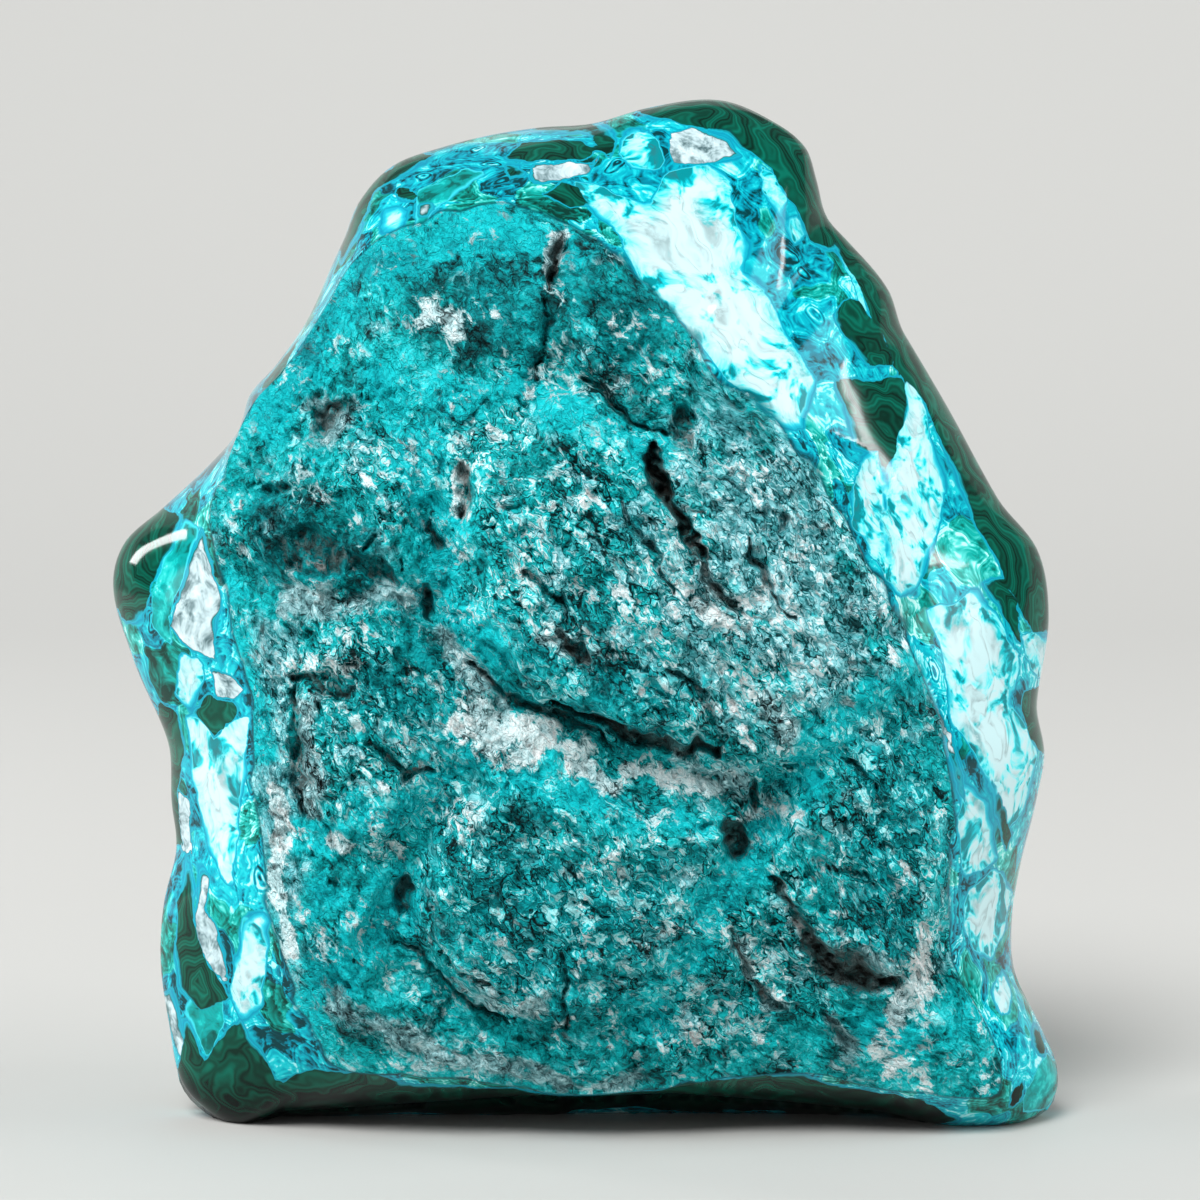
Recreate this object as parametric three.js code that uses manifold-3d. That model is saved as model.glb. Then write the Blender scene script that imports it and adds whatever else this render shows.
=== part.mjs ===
// Malachite with chrysocolla specimen: one boulder of copper ore, in one piece. Its
// rim and back are ground and polished, and its front face is left weathered.
// Millimetres. X runs across the face, Y from the face to the back, and Z is up.

import * as THREE from "three";
import { mergeVertices } from "three/addons/utils/BufferGeometryUtils.js";
import Module from "manifold-3d";

// Driving dimensions
const AXIS_HEIGHT = 120; // the axis from face to back, round which the outlines run
const FACE_CROWN = -66; // depth of the middle of the face
const BACK_DEPTH = 60; // depth of the middle of the back
const BASE_LEVEL = 0; // the stone is ground flat here, and stands on it
const DETAIL = 20; // splits along each edge of the first twenty triangles

// How the directions round the stone are shared out, in degrees from straight ahead
const FACE_SPAN = 110;
const RIM_SPAN = 134;

// How full the sections are: 2 is a round one, more is a boxy one
const BACK_FULLNESS = 2.5;
const FACE_FLATNESS = 2.4;
const FACE_ROUND = 92; // the face's outline is a circle of this radius near its middle
const RIM_ROUNDING = 1.3;

// The widest outline of the stone, anticlockwise from the right: x, z and depth y
const WIDEST = [
  [118, 128, -2],
  [115, 144, -2],
  [105, 157, 0],
  [94, 177, 2],
  [81, 199, 2],
  [77, 210, 4],
  [66, 223, 4],
  [61, 229, 5],
  [59, 237, 6],
  [56, 246, 8],
  [47, 253, 8],
  [34, 258, 8],
  [16, 256, 5],
  [2, 252, 3],
  [-11, 251, 2],
  [-36, 246, 0],
  [-49, 241, -2],
  [-57, 232, -6],
  [-61, 222, -8],
  [-69, 204, -11],
  [-77, 192, -14],
  [-84, 184, -13],
  [-87, 175, -11],
  [-96, 165, -8],
  [-107, 155, -5],
  [-117, 146, -4],
  [-120, 135, -4],
  [-115, 117, -6],
  [-106, 96, -9],
  [-105, 80, -10],
  [-104, 68, -10],
  [-107, 55, -12],
  [-108, 40, -12],
  [-106, 24, -12],
  [-103, 10, -14],
  [-98, 4, -16],
  [-88, -1, -18],
  [-76, 3, -20],
  [-45, 5, -20],
  [-14, 7, -20],
  [18, 8, -20],
  [46, 6, -20],
  [74, 3, -20],
  [94, -1, -20],
  [111, 0, -18],
  [119, 5, -14],
  [120, 13, -12],
  [116, 23, -8],
  [110, 35, -6],
  [109, 48, -4],
  [111, 63, -4],
  [115, 80, -4],
  [117, 92, -4],
  [115, 105, -4],
];

// The edge between the weathered face and the ground rim, in the same way
const FACE_EDGE = [
  [80, 123, -50],
  [72, 138, -50],
  [61, 158, -50],
  [51, 172, -50],
  [42, 182, -49],
  [33, 188, -48],
  [23, 203, -45],
  [12, 214, -43],
  [3, 223, -42],
  [-6, 228, -41],
  [-20, 231, -40],
  [-38, 228, -38],
  [-54, 220, -36],
  [-65, 204, -34],
  [-74, 191, -34],
  [-82, 182, -34],
  [-88, 168, -37],
  [-92, 154, -40],
  [-88, 140, -42],
  [-87, 128, -42],
  [-82, 112, -43],
  [-81, 88, -44],
  [-79, 68, -44],
  [-75, 48, -44],
  [-69, 32, -43],
  [-61, 19, -42],
  [-44, 17, -42],
  [-24, 15, -43],
  [-4, 12, -43],
  [16, 13, -43],
  [36, 16, -42],
  [56, 17, -42],
  [74, 13, -41],
  [92, 11, -40],
  [103, 12, -38],
  [101, 26, -38],
  [93, 40, -42],
  [89, 57, -46],
  [90, 76, -48],
  [89, 92, -50],
  [86, 108, -50],
];

// Lumps that stand out of the face. The edge is how much of one is its sloping
// side: 0.3 ends in a ledge, and 1 is a soft swelling.
const LUMPS = [
  { x: 26, z: 142, across: 61, along: 45, tilt: -22, rise: 10, edge: 0.4 },
  { x: -1, z: 62, across: 45, along: 32, tilt: -12, rise: 8, edge: 0.5 },
  { x: 66, z: 70, across: 23, along: 38, tilt: 10, rise: 7, edge: 0.6 },
  { x: -25, z: 211, across: 42, along: 21, tilt: 4, rise: 4, edge: 1 },
  { x: 13, z: 204, across: 21, along: 22, tilt: 0, rise: 4, edge: 0.7 },
  { x: -59, z: 157, across: 24, along: 22, tilt: 0, rise: 4, edge: 0.8 },
  { x: -56, z: 102, across: 17, along: 30, tilt: 6, rise: 6, edge: 0.7 },
  { x: -62, z: 54, across: 19, along: 26, tilt: 0, rise: 4, edge: 1 },
  { x: 72, z: 118, across: 12, along: 8, tilt: 30, rise: 3, edge: 0.9 },
  { x: 4, z: 27, across: 30, along: 13, tilt: -4, rise: 3, edge: 1 },
  { x: -45, z: 28, across: 23, along: 13, tilt: -10, rise: 3, edge: 1 },
];

// Broad valleys between the lumps
const VALLEYS = [
  { path: [[-38, 133], [-28, 119], [-10, 106], [6, 101], [30, 96], [44, 88]], width: 12, depth: 6 },
  { path: [[76, 127], [66, 114], [60, 102], [50, 89], [40, 76], [31, 58], [21, 40], [8, 28]], width: 10, depth: 4 },
  { path: [[-34, 158], [-33, 145], [-36, 133]], width: 9, depth: 3 },
  { path: [[-30, 94], [-41, 79], [-46, 62], [-43, 46], [-27, 32]], width: 10, depth: 4 },
  { path: [[-80, 141], [-66, 138], [-46, 138]], width: 9, depth: 3 },
  { path: [[-12, 188], [-2, 188], [16, 178], [34, 184]], width: 9, depth: 3 },
];

// Cracks, slots and undercut ledges, each twice its width from side to side
const CRACKS = [
  { path: [[-6, 222], [-8, 208], [-7, 199], [-13, 188]], width: 5, depth: 6 },
  { path: [[17, 173], [18, 161], [25, 152], [30, 144], [36, 136]], width: 6, depth: 8 },
  { path: [[1, 188], [12, 181], [20, 176]], width: 5, depth: 3 },
  { path: [[-14, 112], [-9, 108], [4, 103], [18, 99], [33, 99]], width: 7, depth: 6 },
  { path: [[-73, 115], [-58, 115]], width: 6, depth: 5 },
  { path: [[-72, 114], [-71, 99], [-71, 84]], width: 6, depth: 5 },
  { path: [[45, 67], [52, 59], [54, 47]], width: 7, depth: 5 },
  { path: [[55, 46], [66, 40], [77, 40]], width: 9, depth: 6 },
  { path: [[38, 52], [40, 42], [48, 33]], width: 6, depth: 3 },
  { path: [[59, 33], [62, 25], [66, 20]], width: 6, depth: 3 },
  { path: [[-45, 55], [-36, 46], [-24, 37]], width: 7, depth: 5 },
  { path: [[-38, 141], [-38, 129]], width: 5, depth: 4 },
  { path: [[-29, 170], [-29, 157]], width: 5, depth: 4 },
  { path: [[-16, 146], [-5, 134]], width: 5, depth: 4 },
  { path: [[61, 97], [71, 90]], width: 6, depth: 3 },
  { path: [[39, 93], [41, 84]], width: 6, depth: 3 },
];

// Pits and hollows
const PITS = [
  { x: -61, z: 181, across: 7, along: 7, tilt: 0, depth: 6 },
  { x: -76, z: 163, across: 6, along: 5, tilt: 0, depth: 5 },
  { x: -64, z: 147, across: 15, along: 7, tilt: -12, depth: 10 },
  { x: 22, z: 177, across: 6, along: 6, tilt: 0, depth: 6 },
  { x: 35, z: 184, across: 6, along: 6, tilt: 0, depth: 6 },
  { x: 35, z: 77, across: 6, along: 9, tilt: 25, depth: 10 },
  { x: -47, z: 65, across: 6, along: 7, tilt: 0, depth: 7 },
  { x: -4, z: 126, across: 7, along: 6, tilt: -40, depth: 5 },
  { x: 48, z: 153, across: 6, along: 6, tilt: 0, depth: 4 },
  { x: 22, z: 38, across: 6, along: 6, tilt: 0, depth: 5 },
];

// Broken layers of the face: how far apart they are along and across the layering
const LAYER_TILT = -50;
const LAYER_LENGTH = 22;
const LAYER_WIDTH = 9;
const LAYER_ROUGHNESS = 1.2;
const GRIT_SIZE = 8;
const GRIT_ROUGHNESS = 0.6;

// How far the weathering moves every edge of the face to and fro, and how often
const WANDER = 2.5;
const WANDER_LENGTH = 13;

// Long shallow waves that grinding left in the rim and back
const WAVES = [
  { size: [21, 26, 24], shift: [0.4, 1.1, 2.0], rise: 1.6 },
  { size: [12, 15, 14], shift: [2.2, 0.3, 4.1], rise: 0.8 },
];

// The underside hangs lower behind the front edge, so that it grinds to a flat base
const BELLY_DEPTH = 20;
const BELLY_LENGTH = 46;
const BELLY_DROP = 24;

const degrees = THREE.MathUtils.degToRad;

// An outline as a closed smooth curve: its radius and depth at any angle
function outline(points) {
  const knots = points.map(([x, z, y]) => {
    const height = z - AXIS_HEIGHT;
    const turn = Math.atan2(height, x);
    return { angle: turn < 0 ? turn + 2 * Math.PI : turn, radius: Math.hypot(x, height), depth: y };
  });
  knots.sort((a, b) => a.angle - b.angle);
  const count = knots.length;
  const knot = (i) => {
    const laps = Math.floor(i / count);
    const k = knots[i - laps * count];
    return { ...k, angle: k.angle + laps * 2 * Math.PI };
  };
  return (angle) => {
    let i = -1;
    while (i + 1 < count && knots[i + 1].angle <= angle) i += 1;
    const [p, a, b, n] = [knot(i - 1), knot(i), knot(i + 1), knot(i + 2)];
    const span = b.angle - a.angle;
    const t = (angle - a.angle) / span;
    const blend = (key) => {
      const leave = ((b[key] - p[key]) / (b.angle - p.angle)) * span;
      const arrive = ((n[key] - a[key]) / (n.angle - a.angle)) * span;
      const rise = b[key] - a[key];
      return a[key] + t * (leave + t * (3 * rise - 2 * leave - arrive + t * (leave + arrive - 2 * rise)));
    };
    return { radius: blend("radius"), depth: blend("depth") };
  };
}

// A number from -1 to 1 that belongs to one point of a square lattice
function scatter(i, j) {
  const s = Math.sin(i * 127.1 + j * 311.7) * 43758.5453;
  return 2 * (s - Math.floor(s)) - 1;
}

// The lattice numbers, joined smoothly
function roughness(u, v) {
  const [i, j] = [Math.floor(u), Math.floor(v)];
  const [s, t] = [ease(u - i), ease(v - j)];
  const low = THREE.MathUtils.lerp(scatter(i, j), scatter(i + 1, j), s);
  const high = THREE.MathUtils.lerp(scatter(i, j + 1), scatter(i + 1, j + 1), s);
  return THREE.MathUtils.lerp(low, high, t);
}

const ease = (t) => t * t * (3 - 2 * t);

// How far inside an oval a point is: 1 at its middle, and 0 on its rim or outside
function inside(oval, x, z) {
  const turn = degrees(oval.tilt);
  const u = ((x - oval.x) * Math.cos(turn) + (z - oval.z) * Math.sin(turn)) / oval.across;
  const v = ((z - oval.z) * Math.cos(turn) - (x - oval.x) * Math.sin(turn)) / oval.along;
  return Math.max(0, 1 - u * u - v * v);
}

// How near a path a point is: 1 on it, and 0 at its width or beyond
function beside({ path, width }, x, z) {
  let nearest = Infinity;
  for (let k = 1; k < path.length; k += 1) {
    const [[ax, az], [bx, bz]] = [path[k - 1], path[k]];
    const [dx, dz] = [bx - ax, bz - az];
    const t = THREE.MathUtils.clamp(((x - ax) * dx + (z - az) * dz) / (dx * dx + dz * dz), 0, 1);
    nearest = Math.min(nearest, Math.hypot(x - ax - t * dx, z - az - t * dz));
  }
  return Math.max(0, 1 - nearest / width);
}

// A point of the face, moved to and fro as the weathering moves its edges
function wandered(x, z) {
  const [u, v] = [x / WANDER_LENGTH, z / WANDER_LENGTH];
  return [x + WANDER * roughness(u + 31, v + 17), z + WANDER * roughness(u + 5, v + 47)];
}

// The lumps and valleys alone, which carry on a little way into the ground rim
function swell(x, z) {
  let height = 0;
  for (const lump of LUMPS) {
    const share = inside(lump, x, z);
    height += lump.rise * (0.7 * ease(Math.min(1, share / lump.edge)) + 0.3 * share);
  }
  for (const valley of VALLEYS) height -= valley.depth * ease(beside(valley, x, z));
  return height;
}

// The cracks, pits and broken layers, which the weathered face alone has
function breakage(x, z) {
  let height = 0;
  for (const crack of CRACKS) height -= crack.depth * ease(beside(crack, x, z));
  for (const pit of PITS) height -= pit.depth * ease(inside(pit, x, z));
  const turn = degrees(LAYER_TILT);
  const along = x * Math.cos(turn) + z * Math.sin(turn);
  const across = z * Math.cos(turn) - x * Math.sin(turn);
  height += LAYER_ROUGHNESS * roughness(along / LAYER_LENGTH, across / LAYER_WIDTH);
  height += GRIT_ROUGHNESS * roughness(x / GRIT_SIZE, z / GRIT_SIZE);
  return height;
}

// The waves of the ground surface at a point
function wave(x, y, z) {
  let rise = 0;
  for (const { size, shift, rise: amount } of WAVES) {
    const around = Math.sin(x / size[0] + shift[0]) + Math.sin(y / size[1] + shift[1]);
    rise += (amount / 2) * around * Math.sin(z / size[2] + shift[2]);
  }
  return rise;
}

const widest = outline(WIDEST);
const faceEdge = outline(FACE_EDGE);

// The point of the surface that lies in one direction from the middle of the stone
function surface(direction) {
  const away = Math.acos(THREE.MathUtils.clamp(-direction.y, -1, 1));
  const turn = Math.atan2(direction.z, direction.x);
  const angle = turn < 0 ? turn + 2 * Math.PI : turn;
  const [edge, wide] = [faceEdge(angle), widest(angle)];
  const place = (radius, depth) =>
    new THREE.Vector3(radius * Math.cos(angle), depth, AXIS_HEIGHT + radius * Math.sin(angle));
  const [faceEnd, rimEnd] = [degrees(FACE_SPAN), degrees(RIM_SPAN)];

  if (away <= faceEnd) {
    const share = Math.sin(away / 2) / Math.sin(faceEnd / 2);
    const radius = THREE.MathUtils.lerp(FACE_ROUND, edge.radius, share ** 1.5) * share;
    const point = place(radius, THREE.MathUtils.lerp(FACE_CROWN, edge.depth, share ** FACE_FLATNESS));
    const fade = Math.min(1, (1 - share) * 9);
    const [x, z] = wandered(point.x, point.z);
    point.y -= swell(x, z) + breakage(x, z) * fade;
    return point;
  }

  const rolled = Math.min(1, (away - faceEnd) / (rimEnd - faceEnd));
  if (rolled < 1) {
    const lean = (Math.PI / 2) * rolled ** 0.6;
    const out = Math.sin(lean) ** 2;
    const back = 1 - Math.cos(lean) ** RIM_ROUNDING;
    const point = place(
      THREE.MathUtils.lerp(edge.radius, wide.radius, out),
      THREE.MathUtils.lerp(edge.depth, wide.depth, back),
    );
    const keep = Math.max(0, 1 - rolled / 0.6) ** 2;
    const ripple = 4 * rolled * (1 - rolled) * wave(point.x, point.y, point.z);
    const [x, z] = wandered(point.x, point.z);
    point.y -= swell(x, z) * keep + ripple;
    return point;
  }

  const lean = (Math.PI / 2) * ((away - rimEnd) / (Math.PI - rimEnd));
  const out = Math.max(0, Math.cos(lean)) ** (2 / BACK_FULLNESS);
  const back = Math.sin(lean) ** (2 / BACK_FULLNESS);
  const point = place(wide.radius * out, THREE.MathUtils.lerp(wide.depth, BACK_DEPTH, back));
  const ripple = Math.sin(lean) * wave(point.x, point.y, point.z);
  point.y += 2 * ripple * back;
  const outward = 1 + (2 * ripple * out) / wide.radius;
  point.x *= outward;
  point.z = AXIS_HEIGHT + (point.z - AXIS_HEIGHT) * outward;
  const below = Math.max(0, -Math.sin(angle)) ** 4;
  const behind = Math.max(0, 1 - ((point.y - BELLY_DEPTH) / BELLY_LENGTH) ** 2) ** 2;
  point.z -= BELLY_DROP * below * behind * Math.sqrt(out);
  return point;
}

// A closed mesh as a solid that can be cut
const wasm = await Module();
wasm.setup();

function solid(geometry) {
  geometry.deleteAttribute("normal");
  geometry.deleteAttribute("uv");
  const merged = mergeVertices(geometry, 1e-4);
  return new wasm.Manifold(
    new wasm.Mesh({
      numProp: 3,
      vertProperties: new Float32Array(merged.attributes.position.array),
      triVerts: new Uint32Array(merged.index.array),
    }),
  );
}

// The stone before it is ground flat underneath
function boulder() {
  const geometry = new THREE.IcosahedronGeometry(1, DETAIL);
  const position = geometry.attributes.position;
  const direction = new THREE.Vector3();
  for (let i = 0; i < position.count; i += 1) {
    const point = surface(direction.fromBufferAttribute(position, i).normalize());
    position.setXYZ(i, point.x, point.y, point.z);
  }
  return solid(geometry);
}

// What grinding takes away below the base
function waste() {
  const [length, depth, height] = [400, 300, 60];
  const block = new THREE.BoxGeometry(length, depth, height);
  block.translate(0, 0, BASE_LEVEL - height / 2);
  return solid(block);
}

// The finished stone, moved so that its origin is under the middle of its box
function stone() {
  const mesh = boulder().subtract(waste()).getMesh();
  const geometry = new THREE.BufferGeometry();
  geometry.setAttribute("position", new THREE.BufferAttribute(mesh.vertProperties, 3));
  geometry.setIndex(new THREE.BufferAttribute(mesh.triVerts, 1));
  geometry.computeBoundingBox();
  const { min, max } = geometry.boundingBox;
  geometry.translate(-(min.x + max.x) / 2, -(min.y + max.y) / 2, -min.z);
  geometry.computeVertexNormals();
  const finish = new THREE.MeshStandardMaterial({ color: 0x128f86, roughness: 0.5, metalness: 0 });
  const node = new THREE.Mesh(geometry, finish);
  node.name = "malachite_chrysocolla_stone";
  return node;
}

const group = new THREE.Group();
group.add(stone());

export default group;
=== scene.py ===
import math

import bmesh
import bpy
import numpy as np
from bpy.props import FloatProperty, FloatVectorProperty, IntProperty, PointerProperty
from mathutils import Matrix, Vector


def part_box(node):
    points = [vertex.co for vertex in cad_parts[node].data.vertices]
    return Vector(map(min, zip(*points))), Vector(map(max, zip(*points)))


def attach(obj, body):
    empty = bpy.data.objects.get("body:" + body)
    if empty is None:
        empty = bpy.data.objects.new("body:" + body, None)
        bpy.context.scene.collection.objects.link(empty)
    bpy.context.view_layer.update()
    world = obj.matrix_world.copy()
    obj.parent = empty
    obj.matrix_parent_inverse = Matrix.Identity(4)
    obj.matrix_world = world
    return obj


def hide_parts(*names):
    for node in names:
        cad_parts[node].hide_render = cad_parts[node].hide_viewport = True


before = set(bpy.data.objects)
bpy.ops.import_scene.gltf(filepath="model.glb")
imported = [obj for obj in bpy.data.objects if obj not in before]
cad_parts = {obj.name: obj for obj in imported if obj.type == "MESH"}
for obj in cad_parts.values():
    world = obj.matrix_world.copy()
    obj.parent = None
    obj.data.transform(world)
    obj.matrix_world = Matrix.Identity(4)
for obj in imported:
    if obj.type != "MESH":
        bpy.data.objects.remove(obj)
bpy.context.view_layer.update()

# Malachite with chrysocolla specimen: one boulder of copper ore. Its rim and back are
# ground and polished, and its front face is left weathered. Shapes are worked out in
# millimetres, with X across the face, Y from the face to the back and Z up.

bl_info = {
    "name": "Malachite with Chrysocolla Specimen",
    "version": (1, 0, 0),
    "blender": (4, 5, 0),
    "location": "View3D > Sidebar > Specimen",
    "description": "Builds a polished boulder of malachite and chrysocolla with a weathered face",
    "category": "Add Mesh",
}

NODE = "malachite_chrysocolla_stone"
PIECE = "polished_malachite_boulder"
MM = 0.001
TURN = 2 * math.pi

# What the shader nodes do where nothing else is said
USUAL = {
    "Math": {"operation": "MULTIPLY_ADD"},
    "VectorMath": {"operation": "MULTIPLY_ADD"},
    "Mix": {"data_type": "RGBA"},
    "Mapping": {"vector_type": "TEXTURE"},
}

# The stone's own frame
AXIS_HEIGHT = 120  # the axis from face to back, round which the outlines run
FACE_ROUND = 92  # the face's outline is a circle of this radius near its middle
FACE_SPAN = math.radians(110)  # directions up to here lie on the face
RIM_SPAN = math.radians(134)  # and directions up to here on the ground rim
BACK_FULLNESS = 2.5
FACE_FLATNESS = 2.4
RIM_ROUNDING = 1.3
PATCH_REACH = 12.0  # places farther than this from every patch count as this far
UNDERSIDE_DROP = 24  # how much the underside hangs down before it is ground flat

# The photo's width in pixels, and the millimetres that a pixel shows at the stone
PHOTO_WIDTH = 1200
PIXEL = 0.2552
SENSOR = 36  # the camera's sensor, in millimetres

# The widest outline of the stone, anticlockwise from the right: x, z and depth y
WIDEST = [
    (118, 128, -2), (115, 144, -2), (105, 157, 0), (94, 177, 2), (81, 199, 2), (77, 210, 4), (66, 223, 4),
    (61, 229, 5), (59, 237, 6), (56, 246, 8), (47, 253, 8), (34, 258, 8), (16, 256, 5), (2, 252, 3),
    (-11, 251, 2), (-36, 246, 0), (-49, 241, -2), (-57, 232, -6), (-61, 222, -8), (-69, 204, -11),
    (-77, 192, -14), (-84, 184, -13), (-87, 175, -11), (-96, 165, -8), (-107, 155, -5), (-117, 146, -4),
    (-120, 135, -4), (-115, 117, -6), (-106, 96, -9), (-105, 80, -10), (-104, 68, -10), (-107, 55, -12),
    (-108, 40, -12), (-106, 24, -12), (-103, 10, -14), (-98, 4, -16), (-88, -1, -18), (-76, 3, -20),
    (-45, 5, -20), (-14, 7, -20), (18, 8, -20), (46, 6, -20), (74, 3, -20), (94, -1, -20), (111, 0, -18),
    (119, 5, -14), (120, 13, -12), (116, 23, -8), (110, 35, -6), (109, 48, -4), (111, 63, -4),
    (115, 80, -4), (117, 92, -4), (115, 105, -4),
]

# The edge between the weathered face and the ground rim, in the same way
FACE_EDGE = [
    (80, 123, -50), (72, 138, -50), (61, 158, -50), (51, 172, -50), (42, 182, -49), (33, 188, -48),
    (23, 203, -45), (12, 214, -43), (3, 223, -42), (-6, 228, -41), (-20, 231, -40), (-38, 228, -38),
    (-54, 220, -36), (-65, 204, -34), (-74, 191, -34), (-82, 182, -34), (-88, 168, -37), (-92, 154, -40),
    (-88, 140, -42), (-87, 128, -42), (-82, 112, -43), (-81, 88, -44), (-79, 68, -44), (-75, 48, -44),
    (-69, 32, -43), (-61, 19, -42), (-44, 17, -42), (-24, 15, -43), (-4, 12, -43), (16, 13, -43),
    (36, 16, -42), (56, 17, -42), (74, 13, -41), (92, 11, -40), (103, 12, -38), (101, 26, -38),
    (93, 40, -42), (89, 57, -46), (90, 76, -48), (89, 92, -50), (86, 108, -50),
]

# Lumps of the face: x, z, half width, half height, tilt in degrees, rise, share that slopes
LUMPS = [
    (26, 142, 61, 45, -22, 10, 0.3), (-1, 62, 45, 32, -12, 8, 0.4), (66, 70, 23, 38, 10, 7, 0.5),
    (-25, 211, 42, 21, 4, 4, 1), (13, 204, 21, 22, 0, 4, 0.6), (-59, 157, 24, 22, 0, 4, 0.7),
    (-56, 102, 17, 30, 6, 6, 0.6), (-62, 54, 19, 26, 0, 4, 1), (72, 118, 12, 8, 30, 3, 0.8),
    (4, 27, 30, 13, -4, 3, 1), (-45, 28, 23, 13, -10, 3, 1),
]

# Broad valleys between the lumps: their path, half width and depth
VALLEYS = [
    ([(-38, 133), (-28, 119), (-10, 106), (6, 101), (30, 96), (44, 88)], 12, 6),
    ([(76, 127), (66, 114), (60, 102), (50, 89), (40, 76), (31, 58), (21, 40), (8, 28)], 10, 4),
    ([(-34, 158), (-33, 145), (-36, 133)], 9, 3),
    ([(-30, 94), (-41, 79), (-46, 62), (-43, 46), (-27, 32)], 10, 4),
    ([(-80, 141), (-66, 138), (-46, 138)], 9, 3), ([(-12, 188), (-2, 188), (16, 178), (34, 184)], 9, 3),
]

# Cracks, slots and undercut ledges: their path, half width and depth
CRACKS = [
    ([(-5, 223), (-7, 217), (-7, 211)], 1.9, 7), ([(-8, 208), (-7, 202), (-10, 194), (-13, 188)], 1.3, 4),
    ([(17, 174), (17, 168), (19, 161)], 2.8, 9), ([(18, 163), (25, 152), (29, 148)], 2, 7),
    ([(28, 149), (31, 142), (36, 135)], 1.8, 5), ([(1, 188), (7, 184), (13, 180), (18, 177)], 1.5, 4),
    ([(-26, 118), (-14, 110), (-8, 107), (4, 101)], 2.6, 4),
    ([(-8, 111), (-1, 107), (7, 104), (16, 102), (28, 102), (32, 101)], 2.4, 6.5),
    ([(-73, 115), (-66, 116), (-57, 112)], 3, 4), ([(-71, 112), (-69, 103), (-71, 94), (-70, 82)], 3, 4),
    ([(44, 68), (49, 61), (54, 54), (58, 48)], 2.2, 5),
    ([(55, 52), (59, 46), (65, 43), (71, 41), (77, 39)], 4.4, 7.5),
    ([(36, 54), (40, 44), (42, 38), (48, 33)], 1.6, 4), ([(59, 33), (62, 25), (66, 20)], 1.6, 4),
    ([(-45, 53), (-38, 44), (-29, 37), (-21, 31)], 1.3, 4), ([(-38, 141), (-38, 135), (-36, 129)], 1.5, 5),
    ([(-28, 169), (-27, 163), (-29, 157)], 1.5, 5), ([(-15, 145), (-10, 140), (-5, 134)], 1.6, 4),
    ([(-36, 153), (-33, 149)], 1.3, 4), ([(-55, 147), (-52, 152)], 1.3, 3),
    ([(38, 151), (44, 143), (50, 134)], 1.3, 4), ([(61, 97), (66, 94), (71, 90)], 1.6, 4),
    ([(57, 72), (63, 69), (70, 66)], 1.3, 3), ([(39, 93), (40, 89), (41, 84)], 1.6, 4),
    ([(8, 160), (16, 148), (22, 138)], 1.2, 3), ([(-36, 52), (-30, 46), (-24, 43)], 1.2, 3.5),
    ([(-5, 52), (-3, 42), (-4, 30)], 1.2, 4), ([(20, 122), (28, 112), (34, 106)], 1.3, 3),
    ([(-52, 100), (-44, 94), (-38, 96)], 1.4, 4),
]

# Pits and hollows: x, z, half width, half height, tilt in degrees, depth
PITS = [
    (-61, 181, 6, 4, 15, 4.5), (-76, 163, 5, 2.6, 0, 4), (-67, 148, 12, 5, -12, 4.2),
    (-52, 143, 10, 3, -25, 3.4), (22, 178, 3, 5.5, 10, 4.2), (35, 184, 4.5, 2, -20, 5),
    (35, 77, 4, 7.5, 25, 6.8), (-46, 64, 2.6, 5.4, 8, 5.2), (-3, 127, 7, 2.4, -50, 5),
    (48, 154, 2.2, 3.4, -20, 4), (65, 46, 8, 4, -20, 5),
]

# Waves that grinding left in the rim and back: sizes, shifts and rise
WAVES = [
    ((21, 26, 24), (0.4, 1.1, 2.0), 1.6), ((12, 15, 14), (2.2, 0.3, 4.1), 0.8),
    ((5, 6, 5.5), (1.3, 3.1, 0.6), 0.25),
]

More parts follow.
